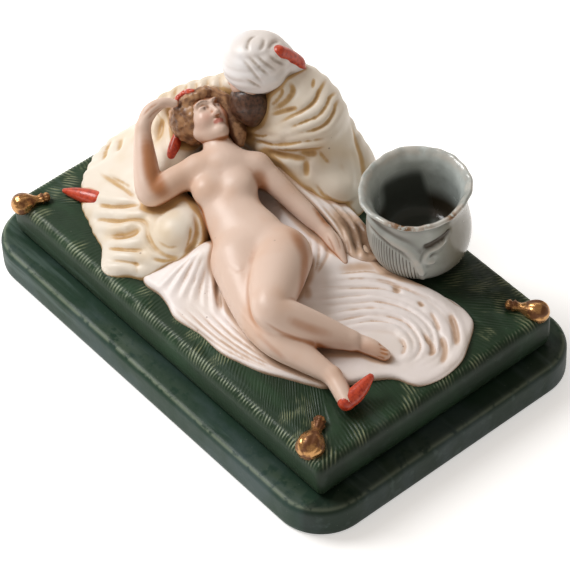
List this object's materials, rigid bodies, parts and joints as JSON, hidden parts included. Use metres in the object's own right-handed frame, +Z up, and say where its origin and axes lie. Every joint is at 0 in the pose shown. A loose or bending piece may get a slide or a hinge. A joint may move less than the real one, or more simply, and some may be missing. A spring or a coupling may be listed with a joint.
{
  "type": "porcelain figural candlestick",
  "caption": "Figural candlestick: a reclining woman and a robed, turbaned man on a tufted mattress and plinth, with a hollow fluted cup for one candle.",
  "frame": {"origin": "centre of the plinth's underside", "axes": "+X along the plinth towards the reclining woman's feet, +Y towards the robed man and the cup, +Z up"},
  "size_m": [0.16, 0.107, 0.0734],
  "materials": {
    "plinth": "gloss",
    "figure_group": "matte",
    "candle_cup": "gloss"
  },
  "bodies": {
    "root": {"plinth": "plinth", "figure_group": "figure_group", "candle_cup": "candle_cup"}
  },
  "joints": []
}
